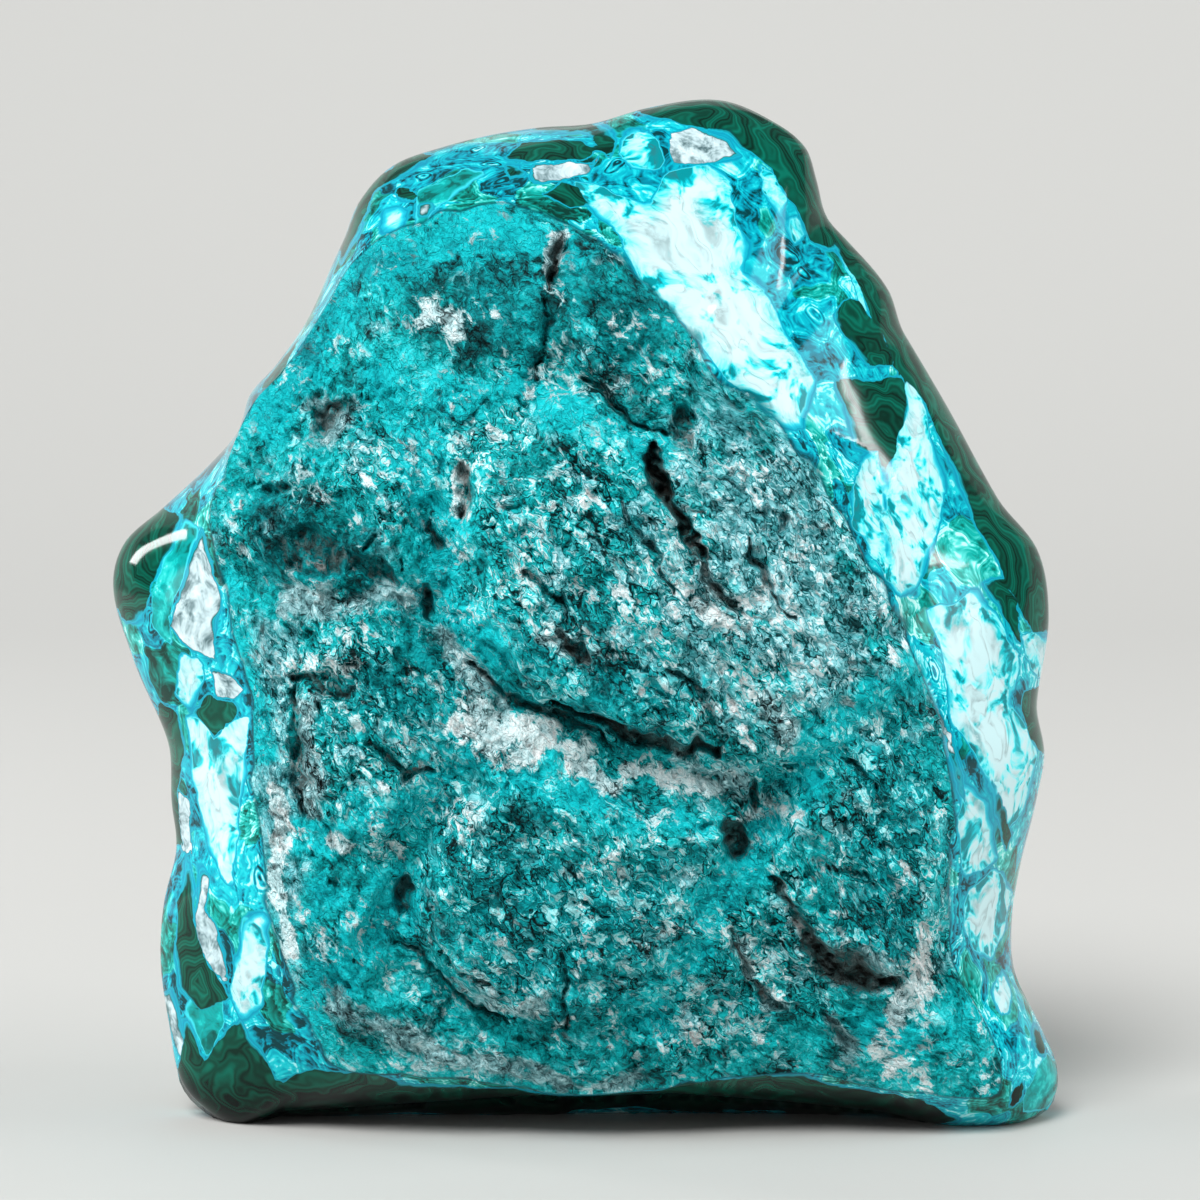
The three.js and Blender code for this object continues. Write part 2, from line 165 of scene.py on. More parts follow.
# Patches of each mineral that the grinding laid open on the rim, and grey patches of painted sheen,
# as outlines of x and z. Malachite lies over the painted grey sheen, and that over the pale and the teal
# chrysocolla.
PATCHES = {"malachite": [
    [(-21, 242), (-17, 246), (-10, 248), (-3, 248), (3, 246), (0, 244), (-7, 243), (-15, 242)],
    [(-27, 249), (-14, 252), (-2, 252), (5, 249), (8, 246), (7, 243), (4, 245), (1, 249), (-14, 250)],
    [(-20, 241), (-17, 240), (-15, 239), (-19, 238)],
    [(-49, 242), (-46, 245), (-38, 245), (-40, 243), (-47, 240)],
    [(-45, 243), (-53, 238), (-63, 222), (-61, 217), (-57, 226), (-50, 236)],
    [(-48, 236), (-44, 236), (-42, 235), (-43, 233), (-47, 233)],
    [(-11, 235), (-5, 238), (0, 236), (2, 231), (-3, 231), (-8, 233)],
    [(11, 255), (27, 259), (42, 257), (55, 250), (62, 237), (66, 223), (61, 221), (56, 223), (54, 229),
     (47, 239), (36, 249), (26, 251)],
    [(61, 226), (68, 226), (80, 214), (82, 202), (97, 186), (110, 163), (121, 145), (122, 122),
     (112, 125), (108, 133), (98, 152), (91, 170), (84, 183), (77, 191), (75, 199), (67, 215)],
    [(64, 207), (69, 208), (75, 199), (78, 191), (72, 191), (66, 197), (61, 204)],
    [(62, 188), (81, 188), (77, 172), (73, 163), (72, 172), (67, 173)],
    [(98, 137), (105, 139), (108, 133), (109, 121), (103, 132)],
    [(110, 111), (116, 110), (122, 100), (116, 92), (111, 99), (109, 106)],
    [(99, 91), (103, 85), (108, 75), (106, 71), (102, 83)],
    [(113, 24), (117, 21), (116, 17), (112, 19)],
    [(107, 10), (110, 12), (110, 6), (107, 5)],
    [(-108, 155), (-102, 155), (-103, 147), (-109, 134), (-112, 129), (-117, 127), (-123, 135),
     (-121, 146)],
    [(-108, 108), (-102, 105), (-101, 93), (-103, 83), (-101, 70), (-109, 68), (-110, 90)],
    [(-101, 68), (-98, 54), (-93, 42), (-88, 34), (-97, 29), (-102, 34), (-103, 55)],
    [(-101, 26), (-96, 18), (-87, 29), (-79, 17), (-75, 12), (-83, -3), (-99, -2), (-104, 10)],
    [(-75, 14), (-66, 18), (-53, 17), (-41, 14), (-22, 13), (4, 11), (22, 14), (40, 16), (56, 15),
     (70, 11), (84, 9), (94, 2), (84, -4), (0, -4), (-85, -6)],
    [(-94, 111), (-86, 110), (-85, 107), (-91, 99), (-97, 105)],
], "grey": [
    [(21, 249), (27, 251), (36, 247), (40, 243), (30, 242), (22, 243)],
    [(-14, 241), (-8, 242), (0, 243), (4, 245), (1, 240), (-6, 238), (-13, 237)],
    [(-42, 232), (-38, 233), (-37, 231), (-39, 228), (-42, 228)],
    [(-95, 152), (-91, 144), (-90, 132), (-91, 120), (-98, 121), (-104, 128), (-98, 146)],
    [(-94, 118), (-88, 117), (-84, 113), (-86, 111), (-90, 110)],
    [(-103, 84), (-99, 81), (-99, 69), (-102, 68)],
    [(-97, 67), (-93, 64), (-95, 57), (-90, 47), (-88, 36), (-93, 42), (-98, 54)],
    [(-106, 34), (-103, 26), (-100, 15), (-105, 20), (-108, 30)],
    [(86, 111), (90, 103), (94, 83), (91, 90)],
], "pale": [
    [(-3, 238), (7, 236), (16, 231), (21, 240), (31, 242), (37, 237), (38, 227), (41, 223), (37, 215),
     (42, 212), (51, 197), (56, 188), (54, 177), (48, 178), (33, 191), (16, 210)],
    [(9, 246), (11, 249), (15, 250), (19, 247), (20, 243), (18, 240), (13, 241), (10, 243)],
    [(43, 241), (48, 238), (51, 233), (49, 229), (46, 234)],
    [(50, 228), (53, 229), (55, 225), (53, 221), (51, 224)],
    [(64, 221), (67, 217), (73, 201), (69, 206)],
    [(64, 162), (68, 170), (73, 173), (74, 163), (72, 153), (73, 140), (66, 154)],
    [(73, 141), (73, 155), (79, 183), (80, 188), (83, 188), (90, 161), (82, 138), (77, 136)],
    [(84, 132), (95, 136), (103, 128), (109, 119), (106, 109), (114, 94), (110, 79), (105, 75), (99, 90),
     (92, 102)],
    [(109, 125), (112, 125), (118, 121), (117, 110), (112, 115)],
    [(92, 91), (99, 85), (101, 77), (104, 69), (94, 66), (92, 81)],
    [(95, 62), (103, 67), (108, 56), (106, 48), (102, 43), (97, 45), (94, 52)],
    [(101, 36), (105, 39), (108, 35), (106, 30), (102, 31)],
    [(-100, 104), (-96, 105), (-91, 99), (-85, 106), (-82, 107), (-84, 88), (-87, 62), (-94, 72),
     (-98, 88)],
    [(-101, 120), (-96, 119), (-95, 114), (-98, 107), (-103, 110)],
    [(-82, 57), (-78, 57), (-79, 34), (-86, 29), (-88, 36), (-87, 45)],
    [(-65, 208), (-56, 211), (-55, 207), (-59, 202)],
    [(-47, 231), (-45, 230), (-47, 225), (-51, 226), (-50, 230)],
], "teal": [
    [(-101, 155), (-95, 153), (-98, 147), (-104, 130), (-103, 122), (-110, 128)],
    [(112, 14), (117, 18), (122, 10), (118, 2), (110, 3)],
    [(-84, 56), (-82, 57), (-81, 47), (-84, 40), (-86, 45)],
    [(42, 195), (47, 195), (49, 188), (47, 182), (43, 184)],
    [(-97, 37), (-90, 34), (-91, 26), (-95, 19), (-102, 28)],
    [(-44, 219), (-36, 232), (-24, 238), (-30, 240), (-42, 236)],
]}

# Zones of the weathered face, as paths and half widths: a bright veil of chrysocolla,
# pale clay left in the hollows, places weathered grey, places broken into flakes, and
# darker malachite, which also gives painted shade under the ledge of the middle lump and in a hollow at the
# upper left
ZONES = {"veil": [
    ([(-78, 178), (-68, 196), (-56, 212), (-40, 223), (-20, 227), (-6, 222)], 8),
    ([(-48, 188), (-40, 172), (-32, 156), (-35, 136), (-21, 124)], 9),
    ([(-40, 188), (-16, 185), (4, 178), (17, 172)], 5),
    ([(-38, 94), (-25, 102), (-6, 92), (13, 86), (28, 80)], 5), ([(-72, 77), (-62, 80), (-38, 88)], 6),
    ([(80, 119), (69, 112), (57, 102), (46, 85), (36, 70), (25, 50), (16, 30)], 5),
    ([(72, 28), (89, 29)], 7), ([(-64, 58), (-49, 62), (-58, 42), (-66, 34)], 8),
    ([(42, 70), (38, 63), (28, 55), (21, 43), (13, 36)], 3), ([(-85, 136), (-84, 117), (-81, 97)], 5),
], "deposit": [
    ([(-26, 109), (-18, 103), (-11, 101)], 4.6), ([(-12, 102), (1, 96), (9, 93)], 2),
    ([(-37, 206), (-31, 201)], 3.4), ([(-29, 168), (-29, 159)], 2), ([(83, 50), (82, 40), (78, 33)], 3),
    ([(74, 27), (77, 20)], 4), ([(-63, 77), (-59, 76)], 2.5), ([(-6, 223), (-8, 216)], 1.8),
    ([(28, 136), (34, 131)], 1.6), ([(12, 97), (21, 95), (31, 93)], 2.2),
    ([(-76, 88), (-75, 66), (-72, 48)], 2),
], "grit": [
    ([(56, 50), (62, 46), (74, 41)], 5), ([(26, 98), (33, 96), (37, 92)], 3.4),
    ([(-70, 136), (-59, 135), (-46, 136)], 4.5), ([(-67, 109), (-67, 97), (-69, 86)], 3),
    ([(-34, 127), (-30, 122), (-26, 117), (-19, 111)], 3), ([(-6, 130), (-1, 125)], 3.6),
    ([(38, 52), (40, 42), (46, 35)], 2), ([(60, 31), (63, 26), (66, 21)], 2.6),
    ([(27, 148), (34, 138), (38, 130)], 2.2), ([(-64, 184), (-59, 179)], 4.5),
    ([(-62, 33), (-50, 29), (-38, 25)], 5), ([(-34, 22), (-12, 18), (10, 15)], 2.4),
    ([(-29, 42), (-21, 37), (-12, 38)], 4), ([(45, 113), (50, 106)], 3),
], "greyed": [
    ([(42, 156), (52, 136)], 30), ([(-78, 127), (-77, 83)], 6), ([(28, 122), (42, 107)], 8),
    ([(-79, 92), (-77, 66), (-73, 42)], 5),
], "flaky": [
    ([(2, 150), (24, 134), (48, 118)], 30), ([(44, 154), (66, 136)], 18),
    ([(-20, 68), (10, 62), (34, 48)], 22), ([(-62, 110), (-52, 92)], 18), ([(74, 104), (78, 58)], 15),
    ([(-50, 168), (-24, 178)], 10),
], "deep": [
    ([(-22, 214), (6, 206)], 20), ([(-51, 114), (-39, 112)], 14), ([(-21, 63), (13, 58)], 26),
    # the strips from (-16, 114) to (23, 103) and from (-76, 153) to (-61, 146) are painted shade
    ([(77, 97), (74, 56)], 15), ([(-16, 114), (4, 105), (23, 103)], 6), ([(-76, 153), (-61, 146)], 12),
    ([(-11, 127), (13, 114)], 12),
]}


def linear(hex_colour):
    """A colour written as sRGB hex, as Blender's linear red, green and blue."""
    values = [int(hex_colour[i : i + 2], 16) / 255 for i in (1, 3, 5)]
    return tuple(v / 12.92 if v <= 0.04045 else ((v + 0.055) / 1.055) ** 2.4 for v in values)


def node_adder(tree):
    """A function that adds one shader node to a tree, with its settings, links and ramp stops,
    and gives one output. Inputs are in the order of the sockets, or by number or name. A colour
    is a hex string, a linear grey or a linear red, green and blue."""

    def four(value):
        if isinstance(value, str):
            return (*linear(value), 1)
        return (value,) * 3 + (1,) if isinstance(value, (int, float)) else (*value, 1)

    def add(kind, inputs=(), out=None, stops=None, **settings):
        made = tree.nodes.new("ShaderNode" + kind)
        for name, value in {**USUAL.get(kind, {}), **settings}.items():
            setattr(made, name, value)
        for name, value in inputs.items() if isinstance(inputs, dict) else enumerate(inputs):
            if isinstance(value, bpy.types.NodeSocket):
                tree.links.new(value, made.inputs[name])
            else:
                made.inputs[name].default_value = four(value) if isinstance(value, str) else value
        if stops:
            for place in list(stops)[2:]:
                made.color_ramp.elements.new(place)
            for element, (place, colour) in zip(made.color_ramp.elements, stops.items()):
                element.position = place
                element.color = four(colour)
        if out is None:
            return next((socket for socket in made.outputs if socket.enabled), None)
        return made.outputs[out]

    return add


# The shape of the stone


def ease(t):
    """A share from 0 to 1, slowed at both ends."""
    t = np.clip(t, 0, 1)
    return t * t * (3 - 2 * t)


def closed_curve(points):
    """An outline as a closed smooth curve: a function from angle to radius and depth."""
    x, z, depth = np.array(points, float).T
    angle = np.mod(np.arctan2(z - AXIS_HEIGHT, x), TURN)
    order = np.argsort(angle)
    laps = [angle[order] + lap * TURN for lap in (-1, 0, 1)]
    knots = np.concatenate(laps)
    values = np.tile(np.stack([np.hypot(x, z - AXIS_HEIGHT), depth])[:, order], 3)
    slopes = np.zeros_like(values)
    slopes[:, 1:-1] = (values[:, 2:] - values[:, :-2]) / (knots[2:] - knots[:-2])

    def at(turn):
        i = np.searchsorted(knots, turn, side="right") - 1
        span = knots[i + 1] - knots[i]
        t = (turn - knots[i]) / span
        rise = values[:, i + 1] - values[:, i]
        leave, arrive = slopes[:, i] * span, slopes[:, i + 1] * span
        bend = 3 * rise - 2 * leave - arrive + t * (leave + arrive - 2 * rise)
        return values[:, i] + t * (leave + t * bend)

    return at


def scatter(i, j, seed):
    """Numbers from -1 to 1 that belong to the points of a square lattice."""
    s = np.sin(i * 127.1 + j * 311.7 + seed * 74.7) * 43758.5453
    return 2 * (s - np.floor(s)) - 1


def rough(u, v, seed=0):
    """The lattice numbers, joined smoothly."""
    i, j = np.floor(u), np.floor(v)
    s, t = ease(u - i), ease(v - j)
    low = scatter(i, j, seed) * (1 - s) + scatter(i + 1, j, seed) * s
    high = scatter(i, j + 1, seed) * (1 - s) + scatter(i + 1, j + 1, seed) * s
    return low * (1 - t) + high * t


def chips(u, v, seed):
    """Broken cells: each cell's own number and its own slope."""
    near = np.full(u.shape, 9.0)
    value, slope = np.zeros_like(u), np.zeros_like(u)
    for di in (-1, 0, 1):
        for dj in (-1, 0, 1):
            i, j = np.floor(u) + di, np.floor(v) + dj
            du = u - i - 0.5 - 0.42 * scatter(i, j, seed + 1)
            dv = v - j - 0.5 - 0.42 * scatter(i, j, seed + 2)
            away = np.hypot(du, dv)
            closer = away < near
            lean = du * scatter(i, j, seed + 4) + dv * scatter(i, j, seed + 5)
            value = np.where(closer, scatter(i, j, seed + 3), value)
            slope = np.where(closer, lean, slope)
            near = np.where(closer, away, near)
    return value, slope


def inside(oval, x, z):
    """How far inside an oval points are: 1 at its middle, and 0 on its rim or outside."""
    cx, cz, across, along, tilt = oval[:5]
    turn = math.radians(tilt)
    u = ((x - cx) * math.cos(turn) + (z - cz) * math.sin(turn)) / across
    v = ((z - cz) * math.cos(turn) - (x - cx) * math.sin(turn)) / along
    return np.maximum(0, 1 - u * u - v * v)


def apart(ends, x, z):
    """How far points are from a straight line between two ends, and where along it."""
    (ax, az), (bx, bz) = ends
    dx, dz = bx - ax, bz - az
    t = np.clip(((x - ax) * dx + (z - az) * dz) / (dx * dx + dz * dz), 0, 1)
    return np.hypot(x - ax - t * dx, z - az - t * dz), t


def beside(path, width, x, z, taper=0):
    """How near a path points are: 1 on it, and 0 at its width or beyond. A taper narrows
    the path towards both ends."""
    nearest = np.full(x.shape, np.inf)
    steps = len(path) - 1
    for k in range(steps):
        away, t = apart(path[k : k + 2], x, z)
        middle = np.sin(np.pi * (0.06 + 0.88 * (k + t) / steps))
        nearest = np.minimum(nearest, away / (1 - taper + taper * middle))
    return np.maximum(0, 1 - nearest / width)


def within(outline, x, z):
    """How many millimetres inside a closed outline points are, less than 0 outside it."""
    nearest = np.full(x.shape, np.inf)
    odd = np.zeros(x.shape, bool)
    for (ax, az), (bx, bz) in zip(outline, outline[1:] + outline[:1]):
        nearest = np.minimum(nearest, apart(((ax, az), (bx, bz)), x, z)[0])
        if az != bz:
            odd ^= ((az > z) != (bz > z)) & (x < (bx - ax) * (z - az) / (bz - az) + ax)
    return np.where(odd, nearest, -nearest)


def ragged(x, z, seed):
    """Noise of three sizes, from -1 to 1, which frays whatever weathering has left."""
    broad = 0.5 * rough(x / 7, z / 7, seed) + 0.3 * rough(x / 3.2, z / 3.2, seed + 1)
    return broad + 0.2 * rough(x / 1.6, z / 1.6, seed + 2)


def wandered(x, z):
    """Points of the face, moved to and fro as the weathering moves its edges."""
    u, v = x / 13, z / 13
    x1 = x + 2.5 * rough(u + 31, v + 17)
    z1 = z + 2.5 * rough(u + 5, v + 47)
    x1 = x1 + 1.1 * rough(x / 4, z / 4, 3) + 0.6 * rough(x / 1.8, z / 1.8, 5)
    z1 = z1 + 1.1 * rough(x / 4, z / 4, 4) + 0.6 * rough(x / 1.8, z / 1.8, 6)
    return x1, z1


def swell(x, z):
    """The lumps and valleys, which carry on a little way into the ground rim."""
    height = np.zeros_like(x)
    for *oval, rise, edge in LUMPS:
        share = inside(oval, x, z)
        height += rise * (0.7 * ease(share / edge) + 0.3 * share)
    for path, width, depth in VALLEYS:
        height -= depth * ease(beside(path, width, x, z))
    return height


def hollows(x, z):
    """How deep the cracks and pits of the face are."""
    depth = np.zeros_like(x)
    fray = 1 + 0.9 * ragged(x, z, 51)
    for path, width, amount in CRACKS:
        near = beside(path, 1.1 * width * fray, x, z, 0.75)
        depth = np.maximum(depth, amount * ease(1.3 * near))
    for *oval, amount in PITS:
        depth = np.maximum(depth, amount * ease(1.5 * fray * inside(oval, x, z)))
    return depth * (1 + 0.3 * rough(x / 1.5, z / 1.5, 55))


def breakage(x, z):
    """The broken layers, ledges and chips of the face."""
    # the layers slant at 50 degrees, and less has broken off at the top left
    turn = math.radians(-50)
    along = x * math.cos(turn) + z * math.sin(turn)
    across = z * math.cos(turn) - x * math.sin(turn)
    broken = 1 - 0.7 * ease(1.6 * inside((-30, 212, 46, 26, 4), x, z))
    height = 1.3 * rough(along / 22, across / 9) + 0.7 * rough(x / 8, z / 8)

    # ledges, where one layer after another has broken back
    layer = across / 6.5 + 0.9 * rough(along / 17, across / 8, 7) + 0.2 * rough(x / 3, z / 3, 8)
    amount = ease(0.55 + 0.9 * rough(along / 26, across / 15, 10))
    height += broken * 2 * amount * (layer - np.floor(layer)) ** 2

    big, big_slope = chips(along / 5.6, across / 3.4, 11)
    small, small_slope = chips(along / 2.9, across / 2.1, 23)
    height += broken * (0.6 * big + 2.2 * big_slope + 0.4 * small + 1.2 * small_slope)
    return height + 0.15 * rough(x / 1.1, z / 1.1, 9)


def wave(x, y, z):
    """The waves of the ground surface."""
    rise = np.zeros_like(x)
    for size, shift, amount in WAVES:
        around = np.sin(x / size[0] + shift[0]) + np.sin(y / size[1] + shift[1])
        rise += amount / 2 * around * np.sin(z / size[2] + shift[2])
    return rise


def sphere(splits):
    """A ball of triangles: each side of the first twenty is split into equal steps."""
    ball = bmesh.new()
    bmesh.ops.create_icosphere(ball, subdivisions=1, radius=1)
    corners = [[tuple(v.co) for v in face.verts] for face in ball.faces]
    ball.free()
    steps = [(i, j) for i in range(splits + 1) for j in range(splits + 1 - i)]
    weights = np.array([(splits - i - j, i, j) for i, j in steps], float) / splits
    number = {step: n for n, step in enumerate(steps)}
    patch = []
    for i, j in steps:
        if i + j < splits:
            patch.append((number[i, j], number[i + 1, j], number[i, j + 1]))
        if i + j < splits - 1:
            patch.append((number[i + 1, j], number[i + 1, j + 1], number[i, j + 1]))
    patch = np.array(patch)
    points = np.concatenate([weights @ np.array(c) for c in corners])
    faces = np.concatenate([patch + n * len(steps) for n in range(len(corners))])
    points /= np.linalg.norm(points, axis=1)[:, None]
    _, first, same = np.unique(np.round(points, 5), axis=0, return_index=True, return_inverse=True)
    return points[first], same.reshape(-1)[faces]


def minerals(x, z, unrolled):
    """How far inside its patches each mineral of the rim is, in millimetres, and how
    strongly each zone shows on the face: above 0 inside it."""
    places = {}
    u = unrolled[0] + 1.3 * rough(x / 9, z / 9, 31) + 0.5 * rough(x / 3.5, z / 3.5, 32)
    v = unrolled[1] + 1.3 * rough(x / 9, z / 9, 33) + 0.5 * rough(x / 3.5, z / 3.5, 34)
    for name, outlines in PATCHES.items():
        deepest = np.full(x.shape, -PATCH_REACH)
        for outline in outlines:
            deepest = np.maximum(deepest, within(outline, u, v))
        places[name] = deepest
    x1, z1 = wandered(x, z)
    for seed, (name, paths) in enumerate(ZONES.items()):
        near = [beside(path, 1.7 * width, x1, z1) for path, width in paths]
        places[name] = 1.7 * np.max(near, axis=0) - 0.55 + 1.2 * ragged(x, z, 70 + 3 * seed)
    return places


def stone_surface(direction, shape):
    """The surface that lies in each direction, and what each of its places is like."""
    away = np.arccos(np.clip(-direction[:, 1], -1, 1))
    angle = np.mod(np.arctan2(direction[:, 2], direction[:, 0]), TURN)
    edge_radius, edge_depth = closed_curve(FACE_EDGE)(angle)
    wide_radius, wide_depth = closed_curve(WIDEST)(angle)
    crown, back_depth = -shape.face_crown / MM, shape.back_depth / MM

    # the weathered face
    share = np.minimum(1, np.sin(np.minimum(away, FACE_SPAN) / 2) / math.sin(FACE_SPAN / 2))
    radius = (FACE_ROUND + (edge_radius - FACE_ROUND) * share**1.5) * share
    depth = crown + (edge_depth - crown) * share**FACE_FLATNESS

    # the ground rim, which rolls from the edge of the face to the widest outline
    rolled = np.clip((away - FACE_SPAN) / (RIM_SPAN - FACE_SPAN), 0, 1)
    lean = np.pi / 2 * rolled**0.6
    on_rim = away > FACE_SPAN
    radius = np.where(on_rim, edge_radius + (wide_radius - edge_radius) * np.sin(lean) ** 2, radius)
    rise = 1 - np.cos(lean) ** RIM_ROUNDING
    depth = np.where(on_rim, edge_depth + (wide_depth - edge_depth) * rise, depth)

    # the back
    lean = np.pi / 2 * np.clip((away - RIM_SPAN) / (np.pi - RIM_SPAN), 0, 1)
    on_back = away > RIM_SPAN
    out = np.maximum(0, np.cos(lean)) ** (2 / BACK_FULLNESS)
    behind = np.sin(lean) ** (2 / BACK_FULLNESS)
    radius = np.where(on_back, wide_radius * out, radius)
    depth = np.where(on_back, wide_depth + (back_depth - wide_depth) * behind, depth)

    x = radius * np.cos(angle)
    y = depth
    z = AXIS_HEIGHT + radius * np.sin(angle)

    # the outlines of the patches run on round the side, as if it were laid flat
    beyond = np.where(on_back, y - wide_depth, 0)
    laid = np.where(on_back, wide_radius + beyond, radius)
    unrolled = laid * np.cos(angle), AXIS_HEIGHT + laid * np.sin(angle)
    places = minerals(x, z, unrolled)

    # where the patches are known: they give way to the mosaic 3 to 12 mm past the outline.
    # Then how far inside the face each place is, and the lowest 16 mm, where the malachite gets painted
    # shade.
    places["placed"] = 1 - ease((beyond - 3 - 3 * rough(x / 11, z / 11, 41)) / 9)
    places["inner"] = edge_radius * (1 - share) - 30 * rolled + 1.1 * rough(x / 5, z / 5, 42)
    places["foot_shade"] = ease((16 - z) / 12)

    # relief of the face, which dies out over the rim
    x1, z1 = wandered(x, z)
    chipped = breakage(x1, z1)
    hollow = hollows(x1, z1)
    fade = np.where(on_rim, 0, ease((1 - share) * 16))
    keep = np.where(on_rim, np.maximum(0, 1 - rolled / 0.6) ** 2, 1)
    y = y - swell(x1, z1) * keep - (chipped - hollow) * fade
    places["hollow"] = hollow * fade
    places["low"] = -chipped * fade

    # waves of the ground surface
    ripple = wave(x, y, z)
    y = y - np.where(on_rim & ~on_back, 4 * rolled * (1 - rolled) * ripple, 0)
    ripple = np.where(on_back, np.sin(lean) * ripple, 0)
    y = y + 2 * ripple * behind
    outward = 1 + 2 * ripple * out / wide_radius
    x = x * outward
    z = AXIS_HEIGHT + (z - AXIS_HEIGHT) * outward

    # the underside hangs lower behind the front edge, so that it grinds to a flat base
    below = np.maximum(0, -np.sin(angle)) ** 4
    middle = np.maximum(0, 1 - ((y - 20) / 46) ** 2) ** 2
    z = z - np.where(on_back, UNDERSIDE_DROP * below * middle * np.sqrt(out), 0)
    z = np.maximum(z, 0)
    return np.stack([x, y, z], axis=1), places


def build_boulder(shape):
    """The boulder's mesh, set on the place of its solid."""
    direction, faces = sphere(shape.splits)
    points, places = stone_surface(direction, shape)
    low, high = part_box(NODE)
    middle = (points.min(0) + points.max(0)) / 2
    centre = np.array([(low[i] + high[i]) / 2 for i in range(3)])
    move = centre - middle * MM
    move[2] = low[2]
    mesh = bpy.data.meshes.new(PIECE)
    mesh.from_pydata((points * MM + move).tolist(), [], faces.tolist())
    mesh.update()
    mesh.polygons.foreach_set("use_smooth", np.ones(len(mesh.polygons), bool))
    for name, values in places.items():
        layer = mesh.attributes.new(name, "FLOAT", "POINT")
        layer.data.foreach_set("value", values.astype(np.float32))
    piece = bpy.data.objects.new(PIECE, mesh)
    bpy.context.scene.collection.objects.link(piece)
    return piece


# The finish of the stone. Every noise and cell scale is cells per metre.


def mineral_field(add, name, mosaic, share, placed, fine):
    """How far inside a mineral each place is, in millimetres: from its patches where they
    are known, and from its share of the cells of a mosaic on the sides and back."""
    cell, edge = mosaic
    low, high = share
    known = add("Attribute", out="Fac", attribute_name=name)
    here = add("Math", (cell, (low + high) / 2, (high - low) / 2), operation="COMPARE")
    side = add("Math", (here, 2, -1))
    grown = add("Math", (side, edge), operation="MULTIPLY")
    both = add("Mix", {0: placed, 2: grown, 3: known}, data_type="FLOAT")
    return add("Math", (both, fine), operation="ADD")


def cells(add, spot, scale):
    """Cells of one scale: how far each place is from its cell's edge, two numbers of the
    cell's own, and how far its middle is."""
    middle = add("TexVoronoi", {"Vector": spot, "Scale": scale})
    own = add("SeparateColor", (middle.node.outputs["Color"],)).node.outputs
    edge = add("TexVoronoi", {"Vector": spot, "Scale": scale}, feature="DISTANCE_TO_EDGE")
    return edge, own["Red"], own["Green"], middle


def lines(add, distance, apart, form="SINE"):
    """Soft lines at equal steps of a distance, from -1 to 1."""
    turned = add("Math", (distance, TURN / apart), operation="MULTIPLY")
    return add("Math", (turned,), operation=form)


def lined(add, depth, thin, reach, stops, body):
    """Gives a body the lines that run along its border, down to a reach in millimetres,
    thinner in some places than in others."""
    depth = add("Math", (depth, thin), operation="MULTIPLY")
    edge = add("ValToRGB", (add("MapRange", (depth, 0, reach)),), stops=stops)
    fade = add("MapRange", (depth, 0.6 * reach, reach))
    return add("Mix", {0: fade, 6: edge, 7: body})


def banded_malachite(add, bent, depth, thin, colours):
    """Malachite: dark green, with fine rings round its nodules and along its edges."""
    nodule = add("TexVoronoi", {"Vector": bent, "Scale": 40}, out="Distance")
    swirl = add("TexNoise", {"Vector": bent, "Scale": 50, "Detail": 1})
    rings = add("Math", (depth, 0.4), operation="MULTIPLY")
    rings = add("Math", (nodule, 18, rings))
    rings = add("Math", (swirl, 18, rings))

    # fine rings 1.15 mm apart and broad ones 4.9 mm apart, and painted shade over the lowest 16 mm, where
    # the floor throws light up
    tone = add("Math", (lines(add, rings, 1.15), 0.12, 0.5))
    tone = add("Math", (lines(add, rings, 4.9), 0.17, tone))
    foot_shade = add("Attribute", out="Fac", attribute_name="foot_shade")
    tone = add("Math", (foot_shade, -0.45, tone))
    body = add("ValToRGB", (tone,), stops={
        0: "#000c09", 0.25: colours.deep, 0.5: "#014a3a", 0.7: colours.malachite,
        0.88: "#047a66", 1: "#0c9480",
    })
    return lined(add, depth, thin, 1.3, {0: "#0a90ad", 0.25: "#0c98a2", 0.5: "#04504c", 1: "#01251d"}, body)


def pale_chrysocolla(add, bent, depth, thin, colours):
    """Chrysocolla soaked with quartz: nearly white in the middle, and cyan at its edges
    and in blots, with grey veins and hair cracks."""
    cloud = add("TexNoise", {"Vector": bent, "Scale": 270, "Detail": 3, "Roughness": 0.65})
    inner = add("MapRange", (cloud, 0.3, 0.7, -2.4, 2.4), clamp=False)
    inner = add("Math", (inner, depth), operation="ADD")
    blot = add("TexNoise", {"Vector": bent, "Scale": 85, "Detail": 3, "Roughness": 0.65})
    blot = add("MapRange", (blot, 0.49, 0.6, 0, -7))
    inner = add("Math", (inner, blot), operation="ADD")

    # the patches are a little bluer towards the top
    height = add("SeparateXYZ", (bent,), out="Z")
    inner = add("Math", (height, -13, inner))
    body = add("ValToRGB", (add("MapRange", (inner, -6.3, 1.7)),), stops={
        0: "#048c94", 0.15: "#08a8b4", 0.2: "#0cc4d0", 0.36: "#26d8e2", 0.41: "#5ceaf2",
        0.56: "#86f2f6", 0.63: "#a4eff4", 0.85: colours.pale, 1: "#cdeef1",
    })

    # veins that run steeply, the widest of them grey
    turn = (0, math.radians(-30), 0)
    steep = add("Mapping", {"Vector": bent, "Rotation": turn, "Scale": (0.6, 1, 1.8)})
    vein = add("TexNoise", {"Vector": steep, "Scale": 62, "Detail": 2.5, "Roughness": 0.55})
    vein = add("ValToRGB", (vein,), stops={
        0: 0.6, 0.36: 0.45, 0.43: 0, 0.49: 0, 0.53: 0.45, 0.54: 0, 0.59: 0, 0.64: 0.35, 0.7: 0.3, 1: 0.5,
    })
    patchy = add("MapRange", (cloud, 0.4, 0.62, 1, 0.2))
    vein = add("Math", (vein, patchy), operation="MULTIPLY")
    body = add("Mix", {0: vein, 6: body, 7: "#3c4f52"})
    return lined(add, depth, thin, 1.2, {0: "#12a4c4", 0.4: "#2accdc", 1: "#74e6ee"}, body)


